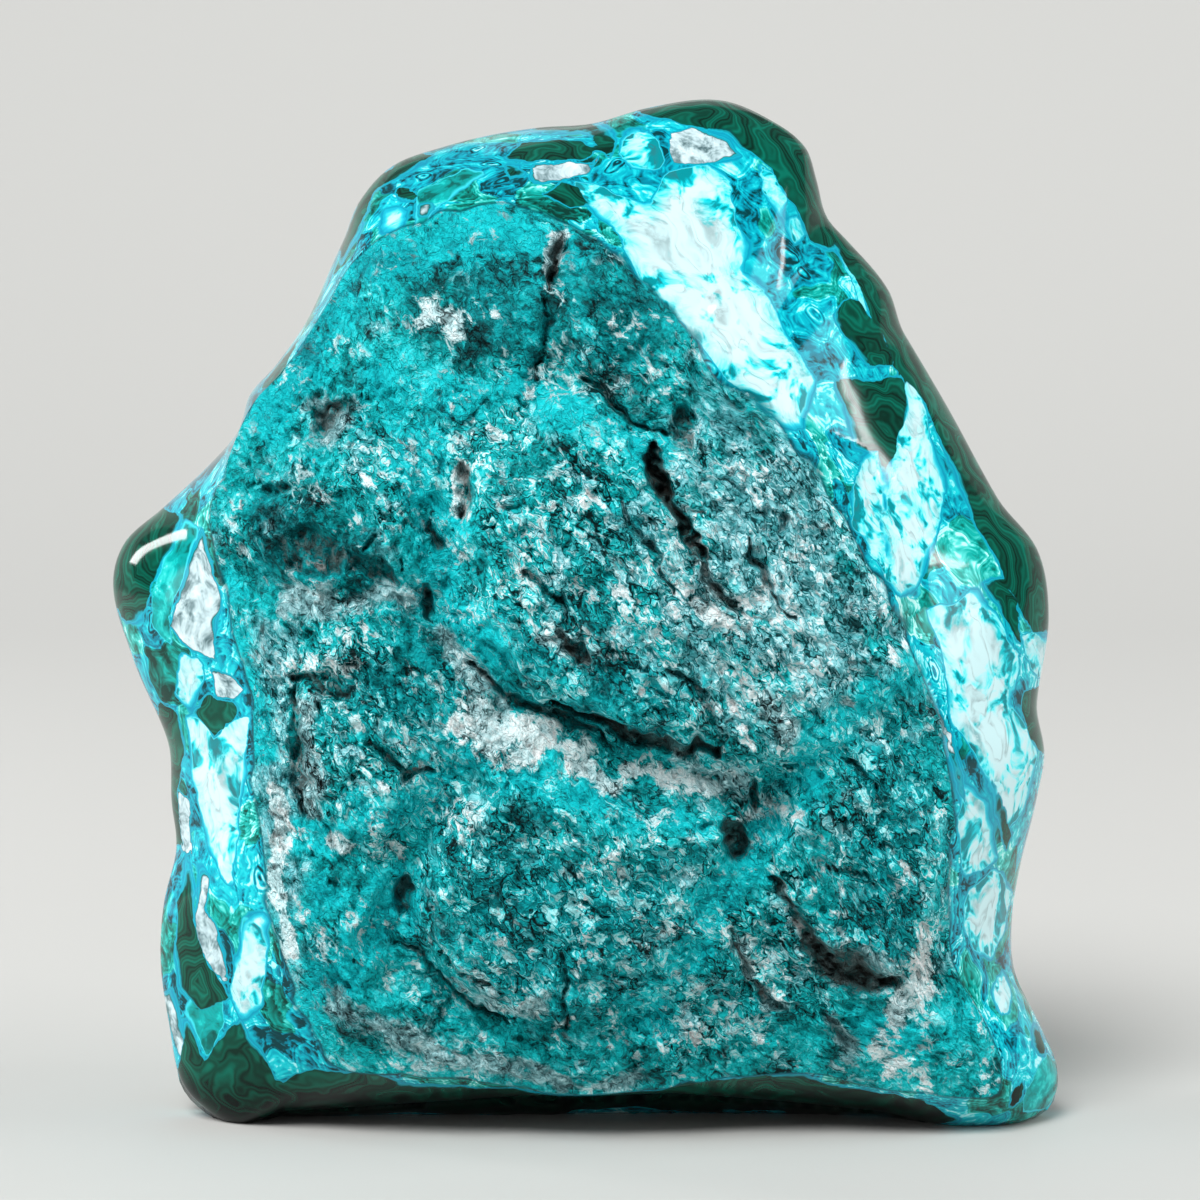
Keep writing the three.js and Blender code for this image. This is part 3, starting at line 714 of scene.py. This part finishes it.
def painted_grey_sheen(add, bent, depth, thin):
    """Painted sheen: a cloudy grey that stands for the lights' reflection on dark polished lobes, with a
    cyan and dark border.
    """
    cloud = add("TexNoise", {"Vector": bent, "Scale": 190, "Detail": 3, "Roughness": 0.7})
    body = add("ValToRGB", (cloud,), stops={
        0.33: "#4e6a6e", 0.42: "#86a0a5", 0.5: "#b4cdd2", 0.58: "#cbe2e6", 0.68: "#dff0f2",
    })
    return lined(add, depth, thin, 1.5, {0: "#0a8aac", 0.35: "#18a8b6", 0.6: "#0c5a5a", 1: "#3c7478"}, body)


def teal_chrysocolla(add, bent, depth, thin):
    """Chrysocolla with malachite in it: a cloudy teal."""
    cloud = add("TexNoise", {"Vector": bent, "Scale": 150, "Detail": 3, "Roughness": 0.65})
    body = add("ValToRGB", (cloud,), stops={
        0.3: "#024a44", 0.4: "#046a64", 0.43: "#048a86", 0.55: "#06a6a4", 0.58: "#10bcb8",
        0.67: "#34d2ce", 0.71: "#84eeea",
    })
    return lined(add, depth, thin, 1.3, {0: "#0a90ad", 0.4: "#35d2de", 1: "#1bb0b4"}, body)


def bright_chrysocolla(add, bent, outside, inner, thin, colours):
    """Chrysocolla between the other minerals: mottled cells of cyan and blue, some with
    ringed eyes, lined along their borders, along other minerals and along the face."""
    edge, pick, other, middle = cells(add, bent, 85)
    cloud = add("TexNoise", {"Vector": bent, "Scale": 240, "Detail": 3, "Roughness": 0.65})
    tone = add("MapRange", (cloud, 0.3, 0.7, -0.26, 0.58), clamp=False)
    tone = add("Math", (pick, 0.5, tone))

    # a little lighter towards the right
    across = add("SeparateXYZ", (bent,), out="X")
    tone = add("Math", (across, 0.6, tone))

    # lines 1.2 mm apart inside the cells, which are 11.8 mm wide: the lines fade after 4 mm.
    # Half of the cells have an eye 5 to 6 mm wide, with rings 1.4 mm apart.
    near = add("MapRange", (edge, 0.02, 0.34, 0.14, 0))
    tone = add("Math", (lines(add, edge, 1.2 / 11.8), near, tone))
    near = add("MapRange", (middle, 0.2, 0.26, 0.35, 0))
    ringed = add("MapRange", (other, 0.45, 0.5))
    near = add("Math", (near, ringed), operation="MULTIPLY")
    tone = add("Math", (lines(add, middle, 0.12, "COSINE"), near, tone))

    # lines 1.5 mm apart along the face
    along = add("Math", (cloud, 6, inner))
    near = add("MapRange", (inner, -10, -2, 0, 0.17))
    tone = add("Math", (lines(add, along, 1.5), near, tone))
    body = add("ValToRGB", (tone,), stops={
        0: "#013c42", 0.12: "#015660", 0.16: "#027488", 0.32: "#0288a0", 0.36: "#02a0b6",
        0.54: colours.chrysocolla, 0.58: "#0cc4d0", 0.76: "#20d2dc", 0.82: "#74eaf0",
        1: "#b4f4f8",
    })
    green = add("ValToRGB", (tone,), stops={
        0: "#01382f", 0.3: "#03756a", 0.6: "#0cb0a6", 0.85: "#58e0d8", 1: "#bcf6f2",
    })
    here = add("MapRange", (other, 0.28, 0.3, 1, 0))
    body = add("Mix", {0: here, 6: body, 7: green})
    return lined(add, outside, thin, 1.4, {0: "#14bccc", 0.3: "#0890b0", 0.6: "#08a4ba", 1: "#18c0d0"}, body)


def polished_stone(add, spot, inner, colours):
    """The minerals as the ground and polished rim shows them, with grey patches of painted sheen among them.
    """
    warp = add("TexNoise", {"Vector": spot, "Scale": 60, "Detail": 2}, out="Color")
    bent = add("VectorMath", (warp, (0.018,) * 3, spot))
    fine = add("TexNoise", {"Vector": bent, "Scale": 230, "Detail": 2})
    fine = add("MapRange", (fine, 0.3, 0.7, -0.35, 0.35), clamp=False)
    placed = add("Attribute", out="Fac", attribute_name="placed")
    thin = add("TexNoise", {"Vector": spot, "Scale": 65, "Detail": 1})
    thin = add("MapRange", (thin, 0.38, 0.6, 1, 5))

    # a mosaic of cells about 30 mm wide, with the distance to their borders in millimetres
    broad = add("TexNoise", {"Vector": spot, "Scale": 21, "Detail": 1}, out="Color")
    grown = add("VectorMath", (broad, (0.05,) * 3, bent))
    edge, cell, _, _ = cells(add, grown, 33)
    mosaic = cell, add("Math", (edge, 1 / (33 * MM)), operation="MULTIPLY")
    malachite = mineral_field(add, "malachite", mosaic, (-0.01, 0.45), placed, fine)
    # the grey patches and cells are painted sheen, not a mineral
    grey = mineral_field(add, "grey", mosaic, (0.45, 0.5), placed, fine)
    pale = mineral_field(add, "pale", mosaic, (0.5, 0.7), placed, fine)
    teal = mineral_field(add, "teal", mosaic, (0.7, 0.82), placed, fine)
    nearest = add("Math", (malachite, grey), operation="MAXIMUM")
    nearest = add("Math", (nearest, pale), operation="MAXIMUM")
    outside = add("Math", (nearest, -1), operation="MULTIPLY")

    colour = bright_chrysocolla(add, bent, outside, inner, thin, colours)
    for field, body in (
        (teal, teal_chrysocolla(add, bent, teal, thin)),
        (pale, pale_chrysocolla(add, bent, pale, thin, colours)),
        (grey, painted_grey_sheen(add, bent, grey, thin)),
        (malachite, banded_malachite(add, bent, malachite, thin, colours)),
    ):
        here = add("MapRange", (field, -0.12, 0.12))
        colour = add("Mix", {0: here, 6: colour, 7: body})

    # a dark seam where the face begins
    seam = add("MapRange", (inner, -1.1, -0.3, 0, 0.75))
    return add("Mix", {0: seam, 6: colour, 7: "#084f58"})


def weathered_stone(add, spot):
    """The minerals as the broken, weathered face shows them: their colour, with painted shade and highlights
    in it, their fine relief in millimetres and their roughness."""
    # everything lies along the layers, at 50 degrees, and its edges are frayed
    turn = (0, math.radians(50), 0)
    laid = add("Mapping", {"Vector": spot, "Rotation": turn, "Scale": (1.6, 1, 1)})
    fray = add("TexNoise", {"Vector": laid, "Scale": 330, "Detail": 2}, out="Color")
    laid = add("VectorMath", (fray, (0.0042,) * 3, laid))

    # flakes about 3 mm wide, crumbs, specks and clouds
    edge, pick, other, _ = cells(add, laid, 310)
    crumb = add("TexNoise", {"Vector": laid, "Scale": 430, "Detail": 3, "Roughness": 0.7})
    crumb = add("MapRange", (crumb, 0.3, 0.7, -0.5, 0.5), clamp=False)
    speck = add("TexNoise", {"Vector": spot, "Scale": 800, "Detail": 2, "Roughness": 0.6})
    speck = add("MapRange", (speck, 0.3, 0.7, -0.5, 0.5), clamp=False)
    cloud = add("TexNoise", {"Vector": spot, "Scale": 85, "Detail": 3, "Roughness": 0.65})

    # broken edges: a painted highlight line with painted shade beside it
    edge_light_and_shade = add("TexNoise", {"Vector": laid, "Scale": 240, "Detail": 2})
    edge_light_and_shade = add("ValToRGB", (edge_light_and_shade,), stops={
        0: 0.5, 0.35: 0.5, 0.38: 0.95, 0.41: 0.1, 0.44: 0.5, 0.49: 0.5, 0.515: 0, 0.545: 1, 0.575: 0.5,
        0.62: 0.5, 0.645: 0.1, 0.67: 0.9, 0.7: 0.5,
    })
    edge_light_and_shade = add("Math", (edge_light_and_shade, 0.5), operation="SUBTRACT")

    # some flakes are whole: they have dark outlines, and some of those are pale
    clear = add("MapRange", (pick, 0.5, 0.75, 0.1, 1))
    line = add("MapRange", (edge, 0.03, 0.14, -0.6, 0))
    pale = add("MapRange", (pick, 0.84, 0.86, 0, 0.45))
    tones = add("Math", (other, 0.25, pale))
    tones = add("Math", (line, clear, tones))
    # the painted edge highlights and shade go into the colour
    tones = add("Math", (edge_light_and_shade, 0.8, tones))
    flaky = add("Attribute", out="Fac", attribute_name="flaky")
    flaky = add("MapRange", (flaky, -0.5, 0.5, 0.25, 0.95))
    tone = add("MapRange", (cloud, 0.25, 0.75, 0.08, 0.82), clamp=False)
    tone = add("Math", (tones, flaky, tone))

    # the top of the face is a little darker
    upper = add("SeparateXYZ", (spot,), out="Z")
    upper = add("MapRange", (upper, 0.175, 0.215, 0, -0.14))
    tone = add("Math", (tone, upper), operation="ADD")
    tone = add("Math", (crumb, 0.4, tone))
    tone = add("Math", (speck, 0.2, tone))
    colour = add("ValToRGB", (tone,), stops={
        0: "#012021", 0.16: "#015153", 0.33: "#028689", 0.48: "#05abaf", 0.62: "#14c3c8",
        0.76: "#50dade", 0.88: "#a0eef1", 1: "#e4fbfc",
    })

    # the zones, with a quarter of the flakes slate grey where the face is greyed
    slate = add("MapRange", (other, 0.74, 0.78, 0, 1.2))
    for zone, soft, stops in (
        ("greyed", 0.9, {0: "#0a3c3f", 0.2: "#287c82", 0.4: "#56aeb6", 0.6: "#88d2da",
         0.8: "#bcf2f7", 1: "#effdff"}),
        # deep: darker malachite, and painted shade where it lies under the middle lump and in a hollow
        ("deep", 0.9, {0: "#011819", 0.25: "#01575b", 0.45: "#02898f", 0.62: "#05a8af",
         0.8: "#2ccbd2", 1: "#a4f2f6"}),
        ("veil", 0.7, {0: "#04848c", 0.2: "#04a8b1", 0.4: "#08bec6", 0.6: "#12ced5",
         0.8: "#38dce2", 1: "#9cf2f5"}),
        ("deposit", 0.5, {0: "#47585a", 0.15: "#86a8ac", 0.3: "#b8dee2", 0.5: "#def6f8",
         0.75: "#f4ffff", 1: "#ffffff"}),
        ("grit", 0.7, {0: "#0c1314", 0.2: "#345256", 0.4: "#64969b", 0.6: "#94c6cb",
         0.8: "#c4ecf0", 1: "#eefcfc"}),
    ):
        here = add("Attribute", out="Fac", attribute_name=zone)
        here = add("Math", (crumb, 1.4, here))
        if zone == "greyed":
            here = add("Math", (slate, flaky, here))
        here = add("MapRange", (here, 0, soft))
        body = add("ValToRGB", (tone,), stops=stops)
        colour = add("Mix", {0: here, 6: colour, 7: body})

    # the low places between the chips are darker; the hollows are gritty, and carry painted shade, near
    # black in their depths
    low = add("Attribute", out="Fac", attribute_name="low")
    low = add("Math", (speck, -1.6, low))
    low_darkening = add("MapRange", (low, 1.2, 3.6, 0, 0.8))
    colour = add("Mix", {0: low_darkening, 6: colour, 7: "#042324"})
    hollow = add("Attribute", out="Fac", attribute_name="hollow")
    hollow = add("Math", (crumb, 5, hollow))
    # painted shade in the hollows: dark teal on their walls, grey-brown grit further in, and near black at
    # the bottom, dark grit under painted shade
    for start, end, most, body in (
        (1, 3, 0.5, "#07383a"), (3.6, 5, 0.6, "#4a4742"), (6, 9, 0.9, "#15120f"),
    ):
        here = add("MapRange", (hollow, start, end, 0, most))
        colour = add("Mix", {0: here, 6: colour, 7: body})

    relief = add("Math", (pick, 0.7, crumb))
    # the same painted strokes also raise fine bumps
    relief = add("Math", (edge_light_and_shade, 0.5, relief))
    relief = add("Math", (speck, 0.5, relief))
    relief = add("Math", (relief, 0.6), operation="MULTIPLY")
    dull = add("MapRange", (other, 0, 1, 0.8, 0.38))
    return colour, relief, dull


def copper_mineral(colours):
    """Malachite and chrysocolla grown together: chipped and dull on the weathered face,
    and polished like glass, with bands and veins, everywhere else."""
    material = bpy.data.materials.new("malachite_and_chrysocolla")
    material.use_nodes = True
    tree = material.node_tree
    tree.nodes.clear()
    add = node_adder(tree)
    spot = add("TexCoord", out="Object")
    inner = add("Attribute", out="Fac", attribute_name="inner")
    polished = add("BsdfPrincipled", {
        "Base Color": polished_stone(add, spot, inner, colours),
        "Roughness": 0.08, "IOR": 1.55, "Metallic": 0, "Specular IOR Level": 0.17,
    })
    # dust dulls the reflection of the weathered face
    colour, relief, dull = weathered_stone(add, spot)
    normal = add("Bump", {"Height": relief, "Distance": MM, "Strength": 1.0})
    weathered = add("BsdfPrincipled", {
        "Base Color": colour, "Roughness": dull, "IOR": 1.5, "Metallic": 0, "Normal": normal,
        "Specular IOR Level": 0.1,
    })
    face = add("MapRange", (inner, -0.25, 0.25))
    shader = add("MixShader", (face, polished, weathered))
    add("OutputMaterial", {"Surface": shader})
    return material


class BoulderSizes(bpy.types.PropertyGroup):
    face_crown: FloatProperty(
        name="Face crown", description="How far the middle of the face stands out from the axis plane",
        default=0.066, min=0.055, max=0.075, subtype="DISTANCE",
    )
    back_depth: FloatProperty(
        name="Back depth", description="How far the back stands out behind the axis plane",
        default=0.060, min=0.050, max=0.070, subtype="DISTANCE",
    )
    splits: IntProperty(
        name="Splits", description="Steps along each edge of the first twenty triangles",
        default=99, min=20, max=99,
    )


def colour_property(name, description, colour):
    """A colour that can be changed in the sidebar."""
    return FloatVectorProperty(
        name=name, description=description, subtype="COLOR", default=linear(colour), min=0, max=1,
    )


class BoulderColours(bpy.types.PropertyGroup):
    deep: colour_property("Deep malachite", "The darkest rings of the malachite", "#012b20")
    malachite: colour_property("Malachite", "The lighter rings of the malachite", "#015f4d")
    chrysocolla: colour_property("Chrysocolla", "The bright cyan between the others", "#06b4c6")
    pale: colour_property("Pale chrysocolla", "The whitish middles of the palest patches", "#bcf0f4")


class StageSettings(bpy.types.PropertyGroup):
    reach: FloatProperty(
        name="Camera distance", description="From the camera to the middle of the stone",
        default=1.1, subtype="DISTANCE",
    )
    elevation: FloatProperty(
        name="Camera elevation", description="How far the camera looks down",
        default=math.radians(5), subtype="ANGLE",
    )


class SPECIMEN_OT_boulder(bpy.types.Operator):
    """Build the boulder and finish its surface"""

    bl_idname = "specimen.boulder"
    bl_label = "Malachite boulder"

    def execute(self, context):
        piece = build_boulder(context.scene.specimen_sizes)
        piece.data.materials.append(copper_mineral(context.scene.specimen_colours))
        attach(piece, "root")
        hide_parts(NODE)
        return {"FINISHED"}


def lamp(name, kind, place, aim, power, **settings):
    """A studio light that looks at the stone."""
    data = bpy.data.lights.new(name, kind)
    data.energy = power
    for setting, value in settings.items():
        setattr(data, setting, value)
    made = bpy.data.objects.new(name, data)
    made.location = place
    made.rotation_euler = (Vector(aim) - Vector(place)).to_track_quat("-Z", "Y").to_euler()
    bpy.context.scene.collection.objects.link(made)


class SPECIMEN_OT_stage(bpy.types.Operator):
    """Set out the floor, the lights and the camera"""

    bl_idname = "specimen.stage"
    bl_label = "Studio stage"

    def execute(self, context):
        settings = context.scene.specimen_stage
        scene = context.scene
        # what stands in the middle of the photo
        aim = Vector((0.0036, 0.0095, 0.131))

        # the floor curves up into a low wall 4 m behind the stone
        side = [(-6, 0)] + [
            (1.3 + 2.6 * math.sin(math.radians(turn)), 2.6 * (1 - math.cos(math.radians(turn))))
            for turn in range(0, 91, 5)
        ]
        points = [(x, y, z) for y, z in side for x in (-8, 8)]
        faces = [(2 * n, 2 * n + 1, 2 * n + 3, 2 * n + 2) for n in range(len(side) - 1)]
        mesh = bpy.data.meshes.new("studio_floor")
        mesh.from_pydata(points, [], faces)
        mesh.polygons.foreach_set("use_smooth", np.ones(len(faces), bool))
        floor = bpy.data.objects.new("studio_floor", mesh)
        material = bpy.data.materials.new("pale_paper")
        material.use_nodes = True
        tree = material.node_tree
        tree.nodes.clear()
        add = node_adder(tree)
        shader = add("BsdfPrincipled", {"Base Color": "#c4c4c1", "Roughness": 0.8})
        add("OutputMaterial", {"Surface": shader})
        mesh.materials.append(material)
        scene.collection.objects.link(floor)

        lamp("high_light", "SUN", (-0.55, -1.2, 1.75), aim, 2.95, angle=math.radians(28))
        for name, place, power, size, size_y in (
            ("left_light", (-1.6, -0.35, 0.7), 14, 1.0, 1.5),
            ("right_light", (1.6, -0.35, 0.8), 16, 1.0, 1.5),
            ("left_strip", (-1.3, 0.55, 0.55), 4.2, 0.2, 0.36),
            ("right_strip", (1.4, 0.1, 0.9), 0.8, 0.07, 0.16),
            ("back_light", (0.2, 2.2, 1.8), 2.5, 1.2, 1.2),
        ):
            lamp(name, "AREA", place, aim, power, shape="RECTANGLE", size=size, size_y=size_y)

        world = bpy.data.worlds.new("studio_air")
        world.use_nodes = True
        background = world.node_tree.nodes["Background"]
        background.inputs["Color"].default_value = (*linear("#e8ebee"), 1)
        background.inputs["Strength"].default_value = 0.2
        scene.world = world

        data = bpy.data.cameras.new("photo_camera")
        data.sensor_width = SENSOR
        data.lens = SENSOR * settings.reach / (PHOTO_WIDTH * PIXEL * MM)
        data.clip_end = 100
        camera = bpy.data.objects.new("photo_camera", data)
        tilt = settings.elevation
        camera.location = aim + settings.reach * Vector((0, -math.cos(tilt), math.sin(tilt)))
        camera.rotation_euler = (aim - camera.location).to_track_quat("-Z", "Y").to_euler()
        scene.collection.objects.link(camera)
        scene.camera = camera
        scene.view_settings.view_transform = "Standard"
        return {"FINISHED"}


class SPECIMEN_PT_panel(bpy.types.Panel):
    """Lists the piece and the stage in the sidebar"""

    bl_label = "Specimen"
    bl_idname = "SPECIMEN_PT_panel"
    bl_space_type = "VIEW_3D"
    bl_region_type = "UI"
    bl_category = "Specimen"

    def draw(self, context):
        for group in GROUPS:
            settings = getattr(context.scene, group)
            for name in settings.__annotations__:
                self.layout.prop(settings, name)
        for operator in (SPECIMEN_OT_boulder, SPECIMEN_OT_stage):
            self.layout.operator(operator.bl_idname)


GROUPS = {
    "specimen_sizes": BoulderSizes,
    "specimen_colours": BoulderColours,
    "specimen_stage": StageSettings,
}
CLASSES = (*GROUPS.values(), SPECIMEN_OT_boulder, SPECIMEN_OT_stage, SPECIMEN_PT_panel)


def register():
    for kind in CLASSES:
        bpy.utils.register_class(kind)
    for name, group in GROUPS.items():
        setattr(bpy.types.Scene, name, PointerProperty(type=group))


def unregister():
    for name in GROUPS:
        delattr(bpy.types.Scene, name)
    for kind in reversed(CLASSES):
        bpy.utils.unregister_class(kind)


def main():
    register()
    bpy.ops.specimen.stage()
    bpy.ops.specimen.boulder()


if __name__ == "__main__":
    main()
